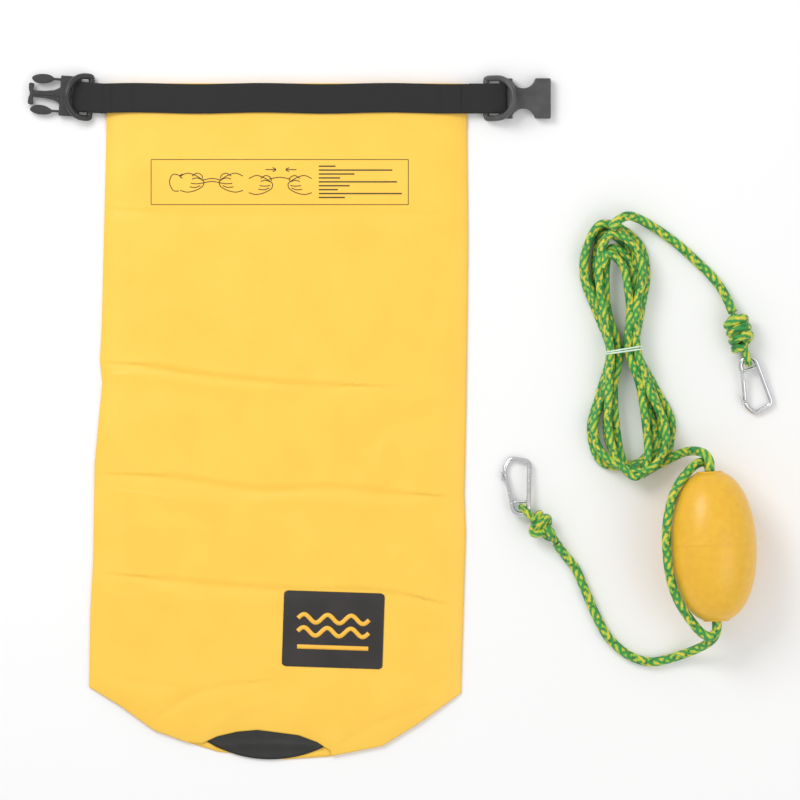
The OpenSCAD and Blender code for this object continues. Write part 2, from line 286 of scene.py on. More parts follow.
# each crease: points, width, height, and the share of it that is a step rather than a ridge
CREASES = [
    ([(-255, 46), (-215, 44), (-160, 36), (-90, 29), (-10, 26)], 7, -1.5, 0.7),
    ([(-255, 34), (-215, 38), (-150, 29), (-60, 26)], 9, 0.9, 0.3),
    ([(-250, -48), (-190, -50), (-120, -60), (-60, -58), (0, -64), (55, -68)], 8, -1.5, 0.6),
    ([(-235, -62), (-160, -70), (-90, -66), (-20, -72), (50, -66)], 12, 0.9, 0.3),
    ([(-12, -15), (-16, -40), (-11, -62)], 5, 0.9, 0.0),
    ([(-30, -20), (-36, -50)], 7, -0.6, 0.2),
    ([(-258, -131), (-190, -137), (-101, -144), (-20, -146), (40, -158), (54, -162)], 7, -1.4, 0.6),
    ([(-240, -150), (-170, -152), (-110, -158)], 12, 0.8, 0.2),
    ([(40, 100), (34, 40), (37, -30)], 11, 0.8, 0.0),
    ([(-215, -261), (-190, -240), (-160, -228), (-110, -222)], 7, -1.3, 0.4),
    ([(-168, -272), (-140, -250), (-100, -238)], 6, 0.9, 0.0),
    ([(-60, -282), (-30, -262), (0, -250), (30, -240)], 7, -1.1, 0.4),
    ([(-258, -210), (-225, -222), (-190, -226)], 8, -0.9, 0.3),
    ([(38, -70), (48, -84), (54, -96)], 4, -1.0, 0.0),
    ([(-250, 176), (-170, 174), (-60, 175), (30, 172)], 10, -0.6, 0.5),
    ([(-245, -15), (-200, 0), (-150, 5)], 12, 0.5, 0.0),
    ([(-240, -100), (-205, -92), (-160, -97)], 10, 0.5, 0.0),
]


def lumps(x, y, seed, size):
    """Slow unevenness: nine waves in random directions, about `size` long."""
    g = np.random.default_rng(seed)
    out = np.zeros_like(x)
    for _ in range(9):
        kx, ky, ph = g.normal(0, 1 / size), g.normal(0, 1.4 / size), g.uniform(0, 6.28)
        out += np.sin(kx * x * 6 + ky * y * 6 + ph)
    return out / 9


# a crease acts this far out, and fades over this share of its length at each end
CREASE_REACH, FADE_SHARE, FADE_BY = 45, 0.18, 7


def crease_distance(x, y, c):
    """Distance to the crease line c, growing towards its ends, and the side of it (1 or -1)."""
    best = np.full(x.shape, 1e9)
    sign = np.zeros(x.shape)
    near = ((x > c[:, 0].min() - CREASE_REACH) & (x < c[:, 0].max() + CREASE_REACH)
            & (y > c[:, 1].min() - CREASE_REACH) & (y < c[:, 1].max() + CREASE_REACH))
    px, py = x[near], y[near]
    near_best, near_sign = np.full(px.shape, 1e9), np.zeros(px.shape)
    d = np.gradient(c, axis=0)
    d /= np.linalg.norm(d, axis=1)[:, None]
    n = len(c)
    for i, (q, t) in enumerate(zip(c, d)):
        dx, dy = px - q[0], py - q[1]
        dist = np.hypot(dx, dy) + FADE_BY * max(0, FADE_SHARE - min(i, n - 1 - i) / n) / FADE_SHARE
        closer = dist < near_best
        near_best = np.where(closer, dist, near_best)
        near_sign = np.where(closer, np.sign(t[0] * dy - t[1] * dx), near_sign)
    best[near], sign[near] = near_best, near_sign
    return best, sign


def cloth_z(x, y):
    """Height of the front cloth."""
    yc = np.clip(y, BOTTOM_Y, MOUTH_Y)
    side = np.minimum(x - edge_x(LEFT, yc), edge_x(RIGHT, yc) - x)
    low = y - base_y(x, True)
    z = 1.5 + 5.4 * (1 - np.exp(-np.maximum(side, 0) / 9)) * (1 - 0.75 * np.exp(-np.maximum(low, 0) / 12))
    grow = 1 - np.exp(-np.maximum(np.minimum(side, low), 0) / 14)
    still = 1 / (1 + np.exp((y - 225) / 6))
    z += (0.9 * lumps(x, y, 3, 260) + 0.35 * lumps(x, y, 5, 90)) * grow * still
    for pts, width, height, step in CREASES:
        c = spline([(*q, 0) for q in pts], 3.0)[:, :2]
        best, sign = crease_distance(x, y, c)
        fall = np.exp(-(best / width) ** 2)
        z += height * fall * (1 - step) * grow
        z += height * step * grow * fall * (-sign) * np.minimum(best / width * 2.2, 1)
    return np.clip(z, 1.4, 9.6)


def grid_faces(nu, nv):
    """Four-sided faces of a grid nu wide and nv long."""
    i, j = np.meshgrid(np.arange(nv - 1), np.arange(nu - 1), indexing="ij")
    a = (i * nu + j).ravel()
    return np.c_[a, a + 1, a + nu + 1, a + nu]


def closed_grid_faces(nu, nv):
    """Faces of an upper grid, of the lower grid that follows it, and of the rim between them."""
    n = nu * nv
    f = grid_faces(nu, nv)
    faces = [tuple(q) for q in f] + [tuple(q[::-1] + n) for q in f]
    rim = ([(0, j) for j in range(nu)] + [(i, nu - 1) for i in range(1, nv)]
           + [(nv - 1, j) for j in range(nu - 2, -1, -1)] + [(i, 0) for i in range(nv - 2, 0, -1)])
    ids = [i * nu + j for i, j in rim]
    faces += [(b, a, a + n, b + n) for a, b in zip(ids, ids[1:] + ids[:1])]
    return faces


def shell(name, x, y, z, thick, mat):
    """Closed sheet: a grid, its copy below, and the edges between."""
    nv, nu = x.shape
    top = np.stack([x, y, z], -1).reshape(-1, 3)
    low = top - [0, 0, thick]
    return mesh(name, np.vstack([top, low]), closed_grid_faces(nu, nv), mat)


def prism(outline, z0, z1):
    """Vertices and faces of an outline pulled up from z0 to z1."""
    p = np.asarray(outline, float)
    n = len(p)
    verts = np.vstack([np.c_[p, np.full(n, z0)], np.c_[p, np.full(n, z1)]])
    faces = [tuple(range(n - 1, -1, -1)), tuple(range(n, 2 * n))]
    faces += [(i, (i + 1) % n, (i + 1) % n + n, i + n) for i in range(n)]
    return verts, faces


def cloth(front, nu, nv):
    """Grid over the bag's outline, a little closer at the sides."""
    u = np.linspace(0, 1, nu)
    u = u + 0.012 * np.sin(2 * math.pi * u) * -1
    v = np.linspace(0, 1, nv)
    U, V = np.meshgrid(u, v)
    guess = LEFT[0, 0] + U * 314
    yb = base_y(guess, front)
    y = yb + V * (CLOTH_END_Y - yb)
    x = edge_x(LEFT, y) * (1 - U) + edge_x(RIGHT, y) * U
    return x, y


x, y = cloth(True, 240, 430)
front = shell("bag_front", x, y, cloth_z(x, y), CLOTH, "bag")
x, y = cloth(False, 150, 200)
lift = 1 / (1 + np.exp(-(y - LIFT_Y) / 2.5))
back = shell("bag_back", x, y, 0.85 + 1.75 * lift, CLOTH, "bag")
for o in (front, back):
    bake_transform(o)
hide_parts("bag_tube", "bag_mouth")

# round base panel, showing as a lens below the front cloth
rr, aa = np.meshgrid(np.linspace(0.02, 1, 40), np.linspace(0, 2 * math.pi, 161))
bx, by = BASE_AT[0] + BASE_R * rr * np.cos(aa), BASE_AT[1] + BASE_R * rr * np.sin(aa)
seam = np.exp(-((by + 277 + 0.0012 * (bx + 112) ** 2) / 1.7) ** 2)
bz = 1.9 + 1.3 * seam + 0.25 * lumps(bx, by, 11, 40)
base = shell("bag_base_panel", bx, by, bz, BASE_CLOTH, "base")
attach(base, "bag")
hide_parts("bag_base")
for o, size in ((front, CLOTH_FLAT), (back, CLOTH_FLAT), (base, BASE_FLAT)):
    BASE_AREA if o is base else None


# ---------------------------------------------------------------- patch and prints, lying on the cloth
def turned(px, py, at, deg):
    """Points turned by deg and moved to at."""
    a = math.radians(deg)
    return at[0] + px * math.cos(a) - py * math.sin(a), at[1] + px * math.sin(a) + py * math.cos(a)


def decal_grid(w, h, r, at, deg, raise_by, nu=80, nv=60):
    """Grid of a rounded rectangle that follows the cloth."""
    u, v = np.meshgrid(np.linspace(-1, 1, nu), np.linspace(-1, 1, nv))
    py = v * h / 2
    cut = np.maximum(np.abs(py) - (h / 2 - r), 0)
    half = w / 2 - r + np.sqrt(np.maximum(r * r - cut * cut, 0))
    px = u * half
    gx, gy = turned(px, py, at, deg)
    return gx, gy, cloth_z(gx, gy) + raise_by


PATCH = (-56.8, -179.8)
gx, gy, gz = decal_grid(*PATCH_SIZE, PATCH_CORNER, PATCH, PATCH_TURN, 0.4)
patch = shell("patch_film", gx, gy, gz, FILM, "patch")
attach(patch, "bag")
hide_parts("capacity_patch")


def ribbon(paths, width, raise_by, at=(0, 0), deg=0.0):
    """Flat inked lines on the cloth."""
    verts, faces = [], []
    for path in paths:
        p = spline([(*q, 0) for q in path], 1.0)[:, :2]
        d = np.gradient(p, axis=0)
        d /= np.maximum(np.linalg.norm(d, axis=1), 1e-9)[:, None]
        nrm = np.c_[-d[:, 1], d[:, 0]] * width / 2
        s = len(verts)
        for q in np.stack([p + nrm, p - nrm], 1).reshape(-1, 2):
            wx, wy = turned(q[0], q[1], at, deg)
            verts.append((wx, wy))
        for i in range(len(p) - 1):
            faces.append((s + 2 * i, s + 2 * i + 1, s + 2 * i + 3, s + 2 * i + 2))
    w = np.array(verts)
    z = cloth_z(w[:, 0], w[:, 1]) + raise_by
    n = len(w)
    top = np.c_[w, z]
    low = np.c_[w, z - 0.12]
    ends = []
    for f in faces:
        ends.append((f[0], f[3], f[3] + n, f[0] + n))
        ends.append((f[2], f[1], f[1] + n, f[2] + n))
    faces = faces + [tuple(i + n for i in f[::-1]) for f in faces] + ends
    return np.vstack([top, low]), faces


def join(parts):
    """Several (vertices, faces) pairs as one."""
    verts, faces, s = [], [], 0
    for v, f in parts:
        verts.append(v)
        faces += [tuple(i + s for i in q) for q in f]
        s += len(v)
    return np.vstack(verts), faces


# generic mark: three waves over a bar
waves = [[(-30 + 2 * k, 9 - 11 * row + 3.4 * math.sin(k * 0.63)) for k in range(31)] for row in range(2)]
bar_line = [[(-30, -15), (0, -15), (30, -15)]]
v, f = join([ribbon(paths, 3.6, 0.62, PATCH, PATCH_TURN) for paths in (waves, bar_line)])
mark = mesh("patch_mark", v, f, "mark")
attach(mark, "bag")

GUIDE = (-102, 198)


def hand(cx, cy, s):
    """Lines of a plain hand at (cx, cy); s is 1 for one pointing right, -1 for left."""
    return [[(cx + s * a, cy + b) for a, b in q] for q in (
        [(-14, 5), (-8, 7.5), (-2, 6), (4, 2.5), (6, 0.5)],
        [(-14, -7), (-8, -8.5), (-1, -7), (5, -3.5), (6, 0.5)],
        [(-4, 5), (0, 7.5), (4, 6), (5, 3)],
        [(-4, 2.5), (0, 3.5), (4, 2.2)],
        [(-5, -1), (0, -1.5), (4, -0.8)],
        [(-6, -4), (-1, -4.5), (3, -3)])]


GW, GH = 108.5, 19
lines = [[(-GW, -GH), (0, -GH), (GW, -GH)], [(-GW, GH), (0, GH), (GW, GH)],
         [(-GW, -GH), (-GW, 0), (-GW, GH)], [(GW, -GH), (GW, 0), (GW, GH)]]
draw = hand(-70, 0, 1) + hand(-45, 0, -1)
draw += [[(-66, 1.5), (-57, 3), (-49, 1.5)], [(-66, -1), (-57, 0.5), (-49, -1)],
         [(-83, 5), (-90, 6.5), (-93, 0), (-90, -7), (-85, -7.5)], [(-82, 7), (-84.5, 5), (-82, 3.2)]]
draw += hand(-12, -2, 1) + hand(13, -2, -1)
draw += [[(-9, 2.5), (0, 4), (9, 2.5)], [(-12, 10.5), (-6, 10.5), (-3, 10.5)],
         [(14, 10.5), (8, 10.5), (5, 10.5)], [(-6, 12.2), (-3, 10.5), (-6, 8.8)],
         [(8, 12.2), (5, 10.5), (8, 8.8)]]
bars = []
for k, w in enumerate((14, 62, 30, 18, 66, 26, 16, 70, 22)):
    level = 13.4 - 3.3 * k
    bars.append([(33, level), (33 + w / 2, level), (33 + w, level)])
v, f = join([ribbon(lines, 0.55, 0.16, GUIDE, 0), ribbon(draw, 0.7, 0.16, GUIDE, 0),
             ribbon(bars, 1.1, 0.16, GUIDE, 0)])
guide = mesh("guide_print", v, f, "ink")
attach(guide, "bag")


# ---------------------------------------------------------------- webbing band, tabs, rings and buckles
def strap(name, path, normals, width, thick):
    """Ribbed webbing along a path, wide across `normals`."""
    p = spline(path, 0.55)
    t = np.gradient(p, axis=0)
    t /= np.linalg.norm(t, axis=1)[:, None]
    w = np.asarray(normals, float)
    up = np.cross(t, w)
    up /= np.linalg.norm(up, axis=1)[:, None]
    across = np.linspace(-1, 1, 31)
    n, m = len(p), len(across)
    rib = 0.14 * np.sin(np.arange(n) * 2 * math.pi / 3.2)[:, None]
    edge = np.sqrt(np.maximum(1 - np.abs(across) ** 14, 0.04))
    warp = 0.05 * np.sin(across * 60)
    h = (thick / 2 * edge + warp)[None, :] + rib * edge
    pos = p[:, None] + across[None, :, None] * w * width / 2
    top, low = pos + h[..., None] * up[:, None], pos - h[..., None] * up[:, None]
    verts = np.vstack([top.reshape(-1, 3), low.reshape(-1, 3)])
    return mesh(name, verts, closed_grid_faces(m, n), "web")


BAND_Y, BAR_Z = 268.6, 4.8
band_pts = [(-251 + 309.5 * k / 14, BAND_Y + 0.5 * math.sin(k * 1.3), 8.6 + 0.12 * math.sin(k * 2.1))
            for k in range(15)]
band = strap("band_front", band_pts, (0, 1, 0), WEB_WIDTH, WEB_THICK)
returns = [strap("band_return_" + n, [(x0 + step, BAND_Y, 1.05) for step in (0, 15, 29)],
                 (0, 1, 0), WEB_WIDTH, 1.2) for n, x0 in (("left", -250.6), ("right", 28.6))]
for o in [band] + returns:
    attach(o, "mouth")
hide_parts("mouth_band")


def stitch(x0, y0, sides=8):
    """One arched stitch of thread, open where it enters the webbing."""
    p = spline([(x0, y0, 9.35), (x0, y0 + 0.9, 9.72), (x0, y0 + 1.8, 9.35)], 0.3)
    a = np.linspace(0, 2 * math.pi, sides, endpoint=False)
    ring = np.array([q + 0.28 * np.array([math.cos(b), 0, math.sin(b)]) for q in p for b in a])
    return ring, [(i * sides + j, i * sides + (j + 1) % sides, (i + 1) * sides + (j + 1) % sides,
                   (i + 1) * sides + j) for i in range(len(p) - 1) for j in range(sides)]


# rows of stitching across the band's ends
for label, xs in (("left", (-244, -226)), ("right", (51, 33))):
    v, f = join([stitch(x0, BAND_Y - 10.2 + 2.75 * k) for x0 in xs for k in range(8)])
    st = mesh("band_stitch_" + label, v, f, "web")
    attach(st, "mouth")


def placed(pts, x0, deg):
    """Local tab coordinates (outward, across, up) to the part's frame."""
    a = math.radians(deg)
    q = np.asarray(pts, float)
    return np.c_[x0 + q[:, 0] * math.cos(a) - q[:, 1] * math.sin(a),
                 BAND_Y + q[:, 0] * math.sin(a) + q[:, 1] * math.cos(a), BAR_Z + q[:, 2]]


# x of the tab's root, its direction, reach to the buckle bar, place of the ring's bar, half the ring's
# width, its depth, and the two bodies
TABS = {"left": (-250.7, 176, 22.0, 11.0, 17.6, 23.5, "tab_l", "ring_l"),
        "right": (58.1, 0, 27.5, 14.2, 16.8, 27.7, "tab_r", "ring_r")}
for label, (x0, deg, reach, bar, half, depth, tab_body, ring_body) in TABS.items():
    a = math.radians(deg)
    loop = [(-0.5, 0, LOOP_R), (reach * 0.5, 0, LOOP_R), (reach - 3, 0, LOOP_R)]
    loop += [(reach + LOOP_R * math.sin(b), 0, LOOP_R * math.cos(b)) for b in np.linspace(0, math.pi, 9)]
    loop += [(reach - 3, 0, -LOOP_R), (reach * 0.5, 0, -LOOP_R), (-0.5, 0, -LOOP_R)]
    o = strap("tab_web_" + label, placed(loop, x0, deg), (-math.sin(a), math.cos(a), 0), WEB_WIDTH, 1.4)
    s, e = placed([(-1, 0, 0), (4, 0, 0)], x0, deg) * MM
    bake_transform(o)
    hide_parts("tab_" + label)
    # D-ring: straight bar in the loop, arc lying outward over the buckle
    straight = depth - half
    c, sn = math.cos(math.radians(RING_TILT)), math.sin(math.radians(RING_TILT))
    flat_pts = [(0, -half + 2.2), (0, 0), (0, half - 2.2), (0.8, half - 0.5), (3, half)]
    flat_pts += [(straight + half * math.sin(b), half * math.cos(b)) for b in np.linspace(0.0, math.pi, 15)]
    flat_pts += [(3, -half), (0.8, -half + 0.5), (0, -half + 2.2)]
    dp = placed([(bar + q[0] * c, q[1], q[0] * sn) for q in flat_pts], x0, deg)
    p = spline(dp, 0.7)
    ring = tube("d_ring_" + label, p, RING_WIRE, "grey" if label == "right" else "plastic", 20,
                radius=lambda A, R: 0.985 + 0.015 * np.cos(2 * A))
    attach(ring, ring_body)
    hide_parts("ring_" + label)


def plate(name, outline, z0, z1, place, bevel, mat):
    """Extruded outline with rounded edges, in tab coordinates."""
    verts, faces = prism(outline, z0, z1)
    return mesh(name, placed(verts, *place), faces, mat, bevel=bevel)


def arc_pts(cx, cy, r, a0, a1, n=10):
    """Points on an arc from a0 to a1 degrees."""
    angles = np.radians(np.linspace(a0, a1, n))
    return [(cx + r * math.cos(t), cy + r * math.sin(t)) for t in angles]


def smooth_outline(pts):
    """Closed outline through the points, smoothed."""
    q = spline([(*p, 0) for p in pts + [pts[0]]], 0.7)[:-1, :2]
    return [tuple(v) for v in q]


BUCKLE_HALF, RAIL_IN = 17, 13.2


def shifted(o, pts):
    """Points measured from the buckle's bar at distance o along the tab."""
    return [(o + p, q) for p, q in pts]


def rail(name, o, s, end, place, mat):
    """Side rail of a buckle half, from behind its bar to `end`."""
    near, far = s * RAIL_IN, s * BUCKLE_HALF
    out = shifted(o, [(-2.4, near), (end, near), (end, far), (-2.4, far)])
    return plate(name, out[::s], -2.4, 2.4, place, 0.8, mat)


def buckle_bar(name, o, place, mat):
    """Round bar that the webbing goes round."""
    pts = [(o, t, 0) for t in np.linspace(-16.8, 16.8, 12)]
    return tube(name, placed(pts, *place), BUCKLE_BAR, mat, 20)


def male_buckle(place, o):
    """Cross piece, rails, two prongs on arms, the middle stem with its tee, and the bar."""
    def part(label, pts, half_z, bevel):
        return plate("male_" + label, pts, -half_z, half_z, place, bevel, "plastic")

    out = [part("cross", shifted(o, [(5.5, -17), (15, -17), (15, 17), (5.5, 17)]), 2.5, 0.9)]
    prong = ((21, 12.4), (27, 9.6), (34, 9.3), (38.6, 11.6), (38.9, 14.4), (33.5, 16.8), (25.5, 16.9),
             (21.2, 15))
    arm = ((14, 12.4), (23, 12.6), (23, 14.4), (14, 14.6))
    for s in (-1, 1):
        n = s + 2
        out.append(rail("male_rail_%d" % n, o, s, 6, place, "plastic"))
        head = smooth_outline(shifted(o, [(p, s * q) for p, q in prong])[::s])
        out.append(part("prong_%d" % n, head, 2.5, 0.7))
        out.append(part("arm_%d" % n, shifted(o, [(p, s * q) for p, q in arm])[::s], 2.0, 0.4))
    stem = [(14, -8), (16, -6.2), (20, -4.2), (27, -3.1), (38.4, -2.8), (38.4, 2.8), (27, 3.1), (20, 4.2),
            (16, 6.2), (14, 8)]
    out.append(part("stem", shifted(o, stem), 1.7, 0.5))
    out.append(part("stem_rib", shifted(o, [(14, -0.8), (38, -0.8), (38, 0.8), (14, 0.8)]), 2.5, 0.3))
    tee = [(37, -8.6), (41.2, -8.8), (41.4, -4), (40.4, 0), (41.4, 4), (41.2, 8.8), (37, 8.6), (37.6, 4),
           (37.4, 0), (37.6, -4)]
    out.append(part("tee", smooth_outline(shifted(o, tee)), 2.5, 0.6))
    out.append(buckle_bar("male_bar", o, place, "plastic"))
    return out


def female_buckle(place, o):
    """Notched shell with a black plate at its open end as painted shade of the mouth, rails and the bar."""
    notch = [(o + 6, -17)] + arc_pts(o + 18, -18.5, 10, 171, 9) + [(o + 31, -17), (o + 41, -17)]
    body = notch + [(q[0], -q[1]) for q in notch[::-1]]
    out = [plate("female_shell", body, -4.4, 4.4, place, 1.3, "grey")]
    out += [rail("female_rail_%d" % (s + 2), o, s, 9, place, "grey") for s in (-1, 1)]
    # black plate inside the solid shell, showing at its open end: painted shade standing in for the hollow
    # mouth
    inner = shifted(o, [(31, -14.5), (41.15, -14.5), (41.15, 14.5), (31, 14.5)])
    out.append(plate("female_mouth_painted_shade", inner, -2.7, 2.7, place, 0.3, "plastic"))
    out.append(buckle_bar("female_bar", o, place, "grey"))
    return out


male = male_buckle(TABS["left"][:2], TABS["left"][2])
for o in male:
    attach(o, "tab_l")
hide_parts("buckle_male")

female = female_buckle(TABS["right"][:2], TABS["right"][2])
for o in female:
    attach(o, "tab_r")
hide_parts("buckle_female")


# ---------------------------------------------------------------- float line
HANK, HANK_TURN = np.array([188.0, 56.0, 0.0]), math.radians(6)
LAYER_Z, LAYER_RISE, LOOP_END = 4.0, 7.3, 107


def hank_pt(px, py, pz):
    """A point given along and across the hank, in the part's frame."""
    return (HANK[0] + px * math.cos(HANK_TURN) - py * math.sin(HANK_TURN),
            HANK[1] + px * math.sin(HANK_TURN) + py * math.cos(HANK_TURN), pz)


# each turn: width of its lobes as a share, side shift, shift along the hank, and how far from the middle
# it passes the tie
TURNS = [(1.04, 0, 0, 11.2), (0.6, -1, 2, 3.75), (0.48, 3, -9, 3.75), (0.86, -3, 4, 11.2),
         (0.72, 4, -2, 11.2), (0.42, -2, -12, 3.75)]


def hank_route():
    """Six turns in three layers, an outer and an inner loop in each, pinched at the tie."""
    pts = []
    for k, (s, dx, dy, tie_x) in enumerate(TURNS):
        z = LAYER_Z + LAYER_RISE * (k // 2)
        nxt = LAYER_Z + LAYER_RISE * ((k + 1) // 2) if k < len(TURNS) - 1 else z
        g = 13 * (1 - s)
        low, top = 33 * s, 25.5 * s
        pts += [(dx, -LOOP_END + g * 1.6 + dy, z), (low * 0.8 + dx, -92 + g + dy, z), (low + dx, -64 + dy, z),
                (low * 0.6 + 2, -32, z), (tie_x, 0, z), (top * 0.62 + 2, 32, z), (top + dx, 64 + dy, z),
                (top * 0.8 + dx, 90 - g + dy, z), (dx - 3, LOOP_END - g * 1.6 + dy, z),
                (-top * 0.8 + dx, 90 - g + dy, z), (-top + dx, 64 + dy, z), (-top * 0.62 - 2, 32, z),
                (-tie_x, 0, z), (-low * 0.6 - 2, -32, z), (-low + dx, -64 + dy, z + (nxt - z) * 0.3),
                (-low * 0.8 + dx, -92 + g + dy, z + (nxt - z) * 0.7)]
    return [hank_pt(*q) for q in pts[1:-6]]


# each stretch of the rope, its points read from the photo and its heights listed
hank_o, hank_p = rope("hank_rope", hank_route(), PACKED_ROPE)
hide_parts("hank")
tail_o, tail_p = rope("tail_upper_rope", [
    (177, 158, 24), (184, 166, 21), (194, 169, 16), (210, 162, 8), (232, 147, 4.4), (252, 129, 4.4),
    (263, 118, 4.6), (273, 104, 6.5), (280, 88, 11)], ROPE, 0.95)
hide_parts("tail_upper")
link_o, link_p = rope("link_rope_run", [
    (205, -47, 12), (222, -38, 10), (236, -31, 12), (243, -29, 20), (250, -29, 31), (256, -32, 39.5),
    (259, -38, 42.5), (259, -47, 40.9)], TIGHT_ROPE)
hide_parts("link_rope")
strand_o, strand_p = rope("float_strand_rope", [
    (259, -47, 32.5), (258.4, -41, 32.6), (254, -38, 33.5), (247.5, -40, 37), (240, -47, 41.5),
    (233.8, -55, 45), (229, -64, 46.6), (225.5, -75, 48), (223, -90, 49), (222.6, -110, 49.6),
    (225, -131, 49), (229, -146, 48), (233.5, -156, 46.8), (239, -165, 45), (245, -173, 43),
    (251, -180, 42), (258, -184, 41.3), (264, -181, 41), (265.3, -175.5, 40.9), (265, -170, 40.9)],
    TIGHT_ROPE)
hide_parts("float_strand")
lower_o, lower_p = rope("tail_lower_rope", [
    (265, -170, 32.5), (265.4, -176, 32.3), (264.5, -183, 29), (259, -190, 22), (249, -196, 13),
    (238, -200.5, 7), (226, -204.5, 4.5), (210, -207, 4.5), (192, -201, 4.5), (176, -187, 4.5),
    (165, -168, 4.5), (156, -147, 4.5), (147.5, -128, 4.6), (138.5, -116.5, 6), (131.5, -107, 9.5)],
    ROPE, 0.95)
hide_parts("tail_lower")

# the two passes of rope through the float's bore
F_AT, F_TURN = np.array([262, -108.5, FLOAT_R]), math.radians(2.7)
ax = np.array([-math.sin(F_TURN), math.cos(F_TURN), 0])
bores = []
for k, z in enumerate((-4.2, 4.2)):
    route = [F_AT + ax * t + (0, 0, z) for t in np.linspace(-62.5, 62.5, 8)]
    bores.append(rope("bore_rope_%d" % (k + 1), route, 7.6)[0])
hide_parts("bore_ropes")


def knot_place(at, turn):
    """A function that turns local points and moves them to `at`."""
    a = math.radians(turn)

    def f(p):
        p = np.asarray(p, float)
        return np.c_[at[0] + p[:, 0] * math.cos(a) - p[:, 1] * math.sin(a),
                     at[1] + p[:, 0] * math.sin(a) + p[:, 1] * math.cos(a), at[2] + p[:, 2]]
    return f


# upper knot: three wraps round a core
U_TURN, L_TURN = 197, 45
put = knot_place((285.6, 71, 12.2), U_TURN)
WRAPS = 2 * math.pi * 3.1
coil = [(7.5 * math.cos(b), -11 + 22 * b / WRAPS + 2.6 * math.cos(b + 0.6), 7.5 * math.sin(b))
        for b in np.linspace(0, WRAPS, 44)]
knots = [rope("knot_upper_coil", put([(-2, -15, 0)] + coil + [(0, 14.5, 3.5)]), 7.6)[0]]
knots.append(rope("knot_upper_core", put([(0, -16, -1), (1.5, -6, 0), (-1.5, 6, 0), (0, 15, -4)]), 6.4)[0])

# lower knot: an overhand weave (a trefoil curve), a collar and a core
put = knot_place((120.5, -94.5, 12.2), L_TURN)
weave = [(4.4 * (math.sin(b) + 1.15 * math.sin(2 * b)), 4.4 * (math.cos(b) - 1.15 * math.cos(2 * b)),
          -4.2 * math.sin(3 * b)) for b in np.linspace(0.25, 2 * math.pi - 0.1, 36)]
knots.append(rope("knot_lower_weave", put(weave), 7.4)[0])
COLLAR = 2 * math.pi * 1.3
coil = [(6.5 * math.cos(b), 5 + 6 * b / COLLAR + 1.6 * math.cos(b), 6.5 * math.sin(b))
        for b in np.linspace(0, COLLAR, 22)]
knots.append(rope("knot_lower_collar", put(coil), 6.8)[0])
knots.append(rope("knot_lower_core", put([(0, -15, -2), (1, -6, 0), (-1, 6, 0), (0, 14, 0)]), 6.4)[0])
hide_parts("knot_upper")
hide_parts("knot_lower")

# bights through the clips' eyes
U_EYE, L_EYE = (291.9, 50, 9.2), (106, -80, 9.2)
bights = []
for name, at, turn, legs in (("upper", U_EYE, U_TURN, 9.5), ("lower", L_EYE, L_TURN, 11)):
    put = knot_place(at, turn)
    pts = [(0.4, -legs, 5.6), (0, -legs / 2, 5.5)]
    pts += [(0, 5.4 * math.sin(b), 5.4 * math.cos(b)) for b in np.linspace(0, math.pi, 9)]
    pts += [(0, -legs / 2, -5.4), (-0.4, -legs, -4.8)]
    o = rope("bight_%s_rope" % name, put(pts), 6.0, 1.0, 0.8)[0]
    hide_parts("bight_" + name)
    bights.append(o)

# pale tie round the waist of the hank
tie = []
for k, off in enumerate((-1.1, 0.9)):
    loop = []
    for b in np.linspace(0, 2 * math.pi, 41):
        cx = 15.1 * np.sign(math.cos(b)) * abs(math.cos(b)) ** 0.55
        cz = 12.6 + 12.2 * np.sign(math.sin(b)) * abs(math.sin(b)) ** 0.55
        loop.append(hank_pt(cx, off + 0.06 * cx * (1 if k else 0.6), cz))
    tie.append(tube("hank_tie_turn_%d" % (k + 1), spline(loop, 0.8), 0.75, "tie", 10))
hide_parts("hank_tie")

line_all = [hank_o, tail_o, link_o, strand_o, lower_o] + bores + knots + bights + tie
for o in line_all:
    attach(o, "line")


def declare(o, p, d):
    """Thins a stretch of rope's centreline to metres and measures its length; neither is kept."""
    path = [tuple(q * MM) for q in p[:: max(1, len(p) // 400)]] + [tuple(p[-1] * MM)]
    length_of(p) * MM


declare(tail_o, tail_p, ROPE)
declare(lower_o, lower_p, ROPE)
declare(strand_o, strand_p, TIGHT_ROPE)
declare(hank_o, hank_p, PACKED_ROPE)
declare(link_o, link_p, TIGHT_ROPE)

# ---------------------------------------------------------------- float
TIP_ANGLE = 81.6


def float_profile():
    """Distance along and radius: the egg with its moulding line, the rounded bore ends, the bore."""
    prof = []
    for t in np.linspace(-TIP_ANGLE, TIP_ANGLE, 181):
        a = math.radians(t)
        r = max(11.0, FLOAT_R * math.cos(a) ** 0.82)
        along = FLOAT_HALF * math.sin(a) / math.sin(math.radians(TIP_ANGLE))
        r -= 0.45 * math.exp(-((along - 0.6) / 0.55) ** 2) - 0.22 * math.exp(-((along - 2.2) / 1.1) ** 2)
        prof.append((along, r))
    lip = [(FLOAT_HALF, 10.2), (FLOAT_HALF - 0.6, 9.6), (FLOAT_HALF - 3, BORE_R)]
    prof = [(-along, r) for along, r in lip[::-1]] + prof + lip
    return prof + [(FLOAT_HALF * q, BORE_R) for q in (0.6, 0.2, -0.2, -0.6)]


def lathe(prof, sides=144):
    """The profile turned about the float's axis."""
    out, up = np.array([math.cos(F_TURN), math.sin(F_TURN), 0]), np.array([0, 0, 1])
    verts = []
    for along, r in prof:
        for k in range(sides):
            b = 2 * math.pi * k / sides
            verts.append(F_AT + ax * along + r * (math.cos(b) * out + math.sin(b) * up))
    n = len(prof)
    faces = [(i * sides + k, ((i + 1) % n) * sides + k, ((i + 1) % n) * sides + (k + 1) % sides,
              i * sides + (k + 1) % sides) for i in range(n) for k in range(sides)]
    return verts, faces


verts, faces = lathe(float_profile())
flt = mesh("float_egg", verts, faces, "float")
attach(flt, "float")
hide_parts("float_body")


# ---------------------------------------------------------------- snap clips
EYE_R, PIN_AT, GATE_LEAN = 7, (-7.4, 6.5), math.radians(11)


